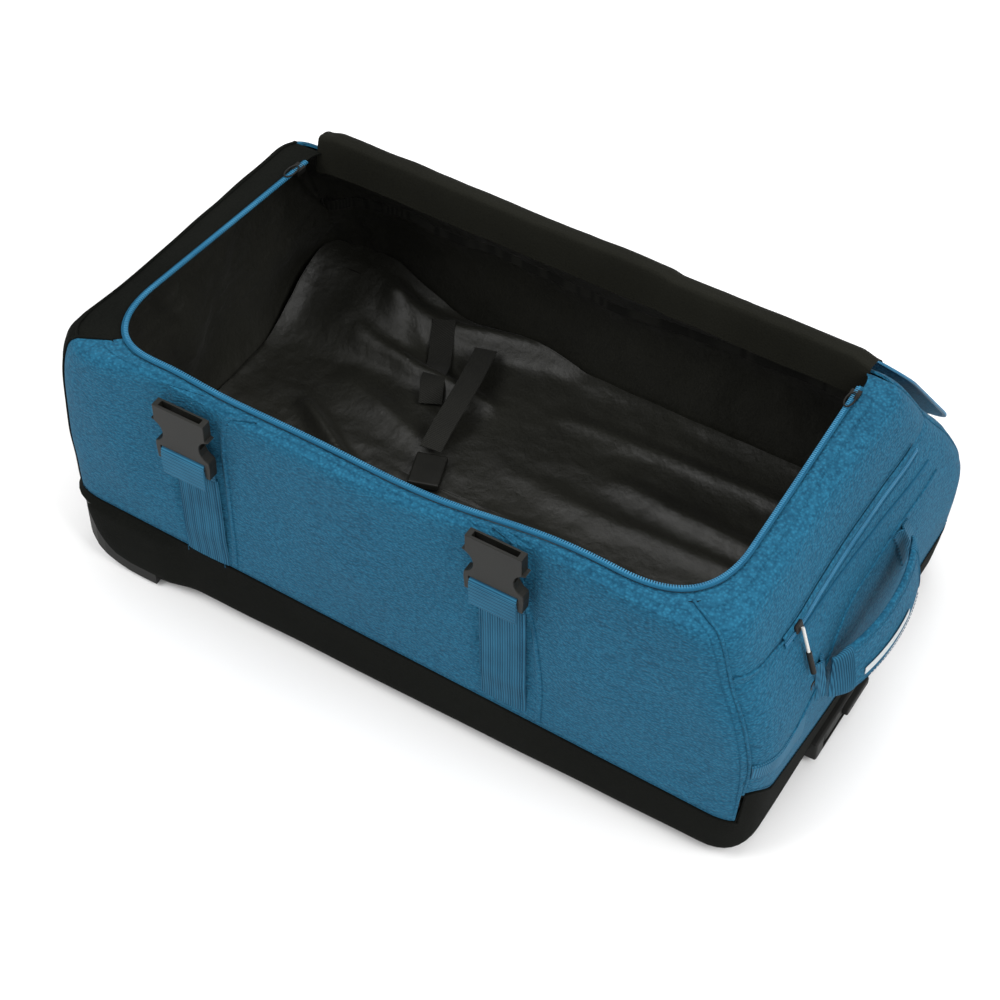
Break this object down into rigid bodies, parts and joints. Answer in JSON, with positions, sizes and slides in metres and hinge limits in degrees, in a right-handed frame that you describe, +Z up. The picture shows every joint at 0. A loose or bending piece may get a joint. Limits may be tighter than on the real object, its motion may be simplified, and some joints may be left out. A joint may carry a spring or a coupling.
{
  "type": "rolling duffel bag",
  "caption": "Wheeled travel duffel lying on its back, zipped lid thrown open, with a telescoping trolley handle, side-release closing buckles and a padded carry handle.",
  "frame": {"origin": "bottom centre of the whole object's box, with the lid hanging open behind the bag and the foot on the floor", "axes": "+X towards the trolley handle end, -X towards the wheels, -Y towards the long side with the buckles, +Z up"},
  "size_m": [0.8283, 0.622, 0.337],
  "materials": {
    "blue_cloth": "woven polyester with a fine pebbled weave",
    "blue_webbing": "ribbed webbing",
    "zip_tape": "coil zip tape",
    "black_cloth": "heavy matt polyester",
    "lining_cloth": "satin lining",
    "black_webbing": "ribbed webbing",
    "floor_board": "matt sheet",
    "black_plastic": "fine-grained moulding",
    "bezel_plastic": "fine-grained moulding",
    "buckle_plastic": "satin moulded plastic",
    "tyre_rubber": "matt",
    "aluminium": "satin anodised",
    "steel": "ground",
    "white_cord": "braided cord"
  },
  "bodies": {
    "bag": {"base_tray": "black_cloth", "base_foot": "black_plastic", "floor_board": "floor_board", "front_panel": "blue_cloth", "handle_end_panel": "blue_cloth", "handle_end_top": "blue_cloth", "rear_panel": "blue_cloth", "wheel_end_panel": "black_cloth", "wheel_end_top": "black_cloth", "lining": "lining_cloth", "wheel_housing_near": "black_plastic", "wheel_housing_far": "black_plastic", "wheel_axle_near": "steel", "wheel_axle_far": "steel", "trolley_sleeve_near": "aluminium", "trolley_sleeve_far": "aluminium", "trolley_bracket": "black_plastic", "trolley_bezel": "bezel_plastic", "hinge_binding": "black_cloth", "front_webbing_left": "blue_webbing", "front_webbing_right": "blue_webbing", "main_zip_tape": "zip_tape", "pocket_zip_tape": "zip_tape", "handle_foot_near": "blue_webbing", "handle_foot_far": "blue_webbing", "vent_eyelet": "black_plastic"},
    "wheel_near": {"wheel_bush_near": "steel", "wheel_hub_near": "black_plastic", "wheel_tyre_near": "tyre_rubber"},
    "wheel_far": {"wheel_bush_far": "steel", "wheel_hub_far": "black_plastic", "wheel_tyre_far": "tyre_rubber"},
    "trolley_stage_one": {"trolley_stage_near": "aluminium", "trolley_stage_far": "aluminium", "trolley_collar_near": "black_plastic", "trolley_collar_far": "black_plastic"},
    "trolley_stage_two": {"trolley_rod_near": "aluminium", "trolley_rod_far": "aluminium", "trolley_grip": "black_plastic"},
    "release_button": {"release_button": "black_plastic"},
    "lid": {"lid_panel": "blue_cloth", "lid_lining": "lining_cloth", "lid_strap_left": "blue_webbing", "lid_strap_right": "blue_webbing"},
    "lid_strap_end_left": {"buckle_plug_left": "buckle_plastic"},
    "lid_strap_end_right": {"buckle_plug_right": "buckle_plastic"},
    "buckle_socket_left": {"buckle_socket_left": "buckle_plastic", "buckle_loop_left": "blue_webbing"},
    "buckle_socket_right": {"buckle_socket_right": "buckle_plastic", "buckle_loop_right": "blue_webbing"},
    "zip_slider_left": {"zip_slider_left": "black_plastic"},
    "zip_slider_right": {"zip_slider_right": "black_plastic"},
    "zip_pull_left": {"zip_pull_left": "black_plastic"},
    "zip_pull_right": {"zip_pull_right": "black_plastic"},
    "pocket_slider": {"pocket_slider": "black_plastic"},
    "pocket_pull": {"pocket_pull_cord": "white_cord", "pocket_pull_tube": "black_plastic"},
    "carry_handle": {"carry_handle": "blue_cloth"},
    "inside_strap": {"inside_strap": "black_webbing", "inside_buckle": "buckle_plastic"}
  },
  "joints": [
    {"name": "lid_hinge", "type": "hinge", "parent": "bag", "child": "lid", "pos_m": [-0.0257, 0.0807, 0.334], "axis": [1, 0, 0], "range_deg": [0, 232]},
    {"name": "lid_strap_end_left_fold", "type": "hinge", "parent": "lid", "child": "lid_strap_end_left", "pos_m": [-0.0257, 0.30766, 0.02402], "axis": [1, 0, 0], "range_deg": [0, 205]},
    {"name": "lid_strap_end_right_fold", "type": "hinge", "parent": "lid", "child": "lid_strap_end_right", "pos_m": [-0.0257, 0.30766, 0.02402], "axis": [1, 0, 0], "range_deg": [0, 205]},
    {"name": "buckle_socket_left_flip", "type": "hinge", "parent": "bag", "child": "buckle_socket_left", "pos_m": [-0.0257, -0.2959, 0.224], "axis": [1, 0, 0], "range_deg": [0, 80]},
    {"name": "buckle_socket_right_flip", "type": "hinge", "parent": "bag", "child": "buckle_socket_right", "pos_m": [-0.0257, -0.2959, 0.247], "axis": [1, 0, 0], "range_deg": [0, 80]},
    {"name": "trolley_stage_one_slide", "type": "slide", "parent": "bag", "child": "trolley_stage_one", "axis": [1, 0, 0], "range_m": [0, 0.22]},
    {"name": "trolley_stage_two_slide", "type": "slide", "parent": "trolley_stage_one", "child": "trolley_stage_two", "axis": [1, 0, 0], "range_m": [0, 0.24]},
    {"name": "release_button_press", "type": "slide", "parent": "trolley_stage_two", "child": "release_button", "axis": [-1, 0, 0], "range_m": [0, 0.004], "stiffness_N_per_m": 400},
    {"name": "wheel_near_spin", "type": "hinge", "parent": "bag", "child": "wheel_near", "pos_m": [-0.3557, -0.2685, 0.0365], "axis": [0, 1, 0], "continuous": true},
    {"name": "wheel_far_spin", "type": "hinge", "parent": "bag", "child": "wheel_far", "pos_m": [-0.3557, 0.1499, 0.0365], "axis": [0, 1, 0], "continuous": true},
    {"name": "carry_handle_swing", "type": "hinge", "parent": "bag", "child": "carry_handle", "pos_m": [0.3763, -0.0798, 0.18], "axis": [0, 1, 0], "range_deg": [-45, 45]},
    {"name": "zip_slider_left_run", "type": "slide", "parent": "bag", "child": "zip_slider_left", "axis": [-0.0951, -0.9955, 0], "range_m": [0, 0.2]},
    {"name": "zip_slider_right_run", "type": "slide", "parent": "bag", "child": "zip_slider_right", "axis": [0.0239, -0.9997, 0], "range_m": [0, 0.2]},
    {"name": "zip_pull_left_flip", "type": "hinge", "parent": "zip_slider_left", "child": "zip_pull_left", "pos_m": [-0.33162, 0.02832, 0.32115], "axis": [-0.9915, 0.0947, 0.0896], "range_deg": [0, 170]},
    {"name": "zip_pull_right_flip", "type": "hinge", "parent": "zip_slider_right", "child": "zip_pull_right", "pos_m": [0.28761, 0.02818, 0.32915], "axis": [-0.9957, -0.0238, -0.0895], "range_deg": [0, 170]},
    {"name": "pocket_slider_run", "type": "slide", "parent": "bag", "child": "pocket_slider", "axis": [0, 1, 0], "range_m": [0, 0.24]},
    {"name": "pocket_pull_swing", "type": "hinge", "parent": "pocket_slider", "child": "pocket_pull", "pos_m": [0.35303, -0.19413, 0.26589], "axis": [0, -1, 0], "range_deg": [0, 120]},
    {"name": "inside_strap_lift", "type": "hinge", "parent": "bag", "child": "inside_strap", "pos_m": [-0.1707, 0.1257, 0.05], "axis": [-1, 0, 0], "range_deg": [0, 70]}
  ]
}
